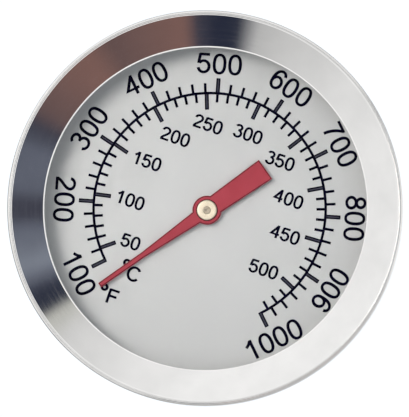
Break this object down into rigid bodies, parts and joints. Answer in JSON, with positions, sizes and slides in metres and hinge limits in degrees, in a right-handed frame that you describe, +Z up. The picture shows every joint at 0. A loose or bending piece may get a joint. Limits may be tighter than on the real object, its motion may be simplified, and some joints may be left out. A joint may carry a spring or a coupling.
{
  "type": "oven thermometer",
  "caption": "Dial oven thermometer with a crimped steel case, red pointer, bimetal stem and a threaded shank with washers and a wing nut for mounting in an oven wall or door.",
  "frame": {"origin": "where the stem's axis crosses the panel seat, the rear face of the hex collar", "axes": "+Y along the stem, into the oven; the dial faces -Y; +Z is up when the dial is upright, its 550 mark at the top"},
  "size_m": [0.054, 0.0811, 0.054],
  "materials": {
    "case_steel": "drawn stainless steel, satin",
    "bezel_steel": "polished stainless steel",
    "glass": "clear, polished",
    "gasket": "off-white silicone, matte",
    "spacer": "satin",
    "dial": "silver, finely brushed",
    "dial_ink": "dark blue-black printing ink",
    "shank_steel": "turned stainless steel",
    "stem_steel": "drawn tube, satin",
    "bearing_bronze": "machined",
    "bimetal": "rolled strip",
    "spindle_steel": "ground wire",
    "hub_nickel": "warm nickel, satin",
    "pointer_red": "red enamel, satin",
    "fastener_zinc": "bright zinc plate"
  },
  "bodies": {
    "case": {"case_cup": "case_steel", "bezel_ring": "bezel_steel", "lens_glass": "glass", "lens_gasket": "gasket", "spacer_ring": "spacer", "dial_plate": "dial", "shank_fitting": "shank_steel", "backing_washer": "shank_steel", "stem_tube": "stem_steel", "tip_plug": "stem_steel", "upper_bearing": "bearing_bronze", "lower_bearing": "bearing_bronze", "bimetal_coil": "bimetal"},
    "pointer": {"pointer": "pointer_red", "pointer_hub": "hub_nickel", "spindle": "spindle_steel", "coil_collar": "bearing_bronze", "thrust_collar": "bearing_bronze"},
    "washers": {"plain_washer": "fastener_zinc", "spring_washer": "fastener_zinc"},
    "wing_nut": {"wing_nut": "fastener_zinc"}
  },
  "joints": [
    {"name": "pointer_turn", "type": "hinge", "parent": "case", "child": "pointer", "pos_m": [0, 0, 0], "axis": [0, 1, 0], "range_deg": [-11.2, 278.8], "stiffness_Nm_per_rad": 0.0001, "deforming": ["bimetal_coil"]},
    {"name": "washer_slide", "type": "slide", "parent": "case", "child": "washers", "axis": [0, 1, 0], "range_m": [-0.00451, 0.00801]},
    {"name": "nut_turn", "type": "hinge", "parent": "washers", "child": "wing_nut", "pos_m": [0, 0, 0], "axis": [0, 1, 0], "range_deg": [-1296, 2304]}
  ],
  "couplings": [
    {"joint": "washer_slide", "follows": "nut_turn", "m_per_rad": 0.00019894}
  ]
}
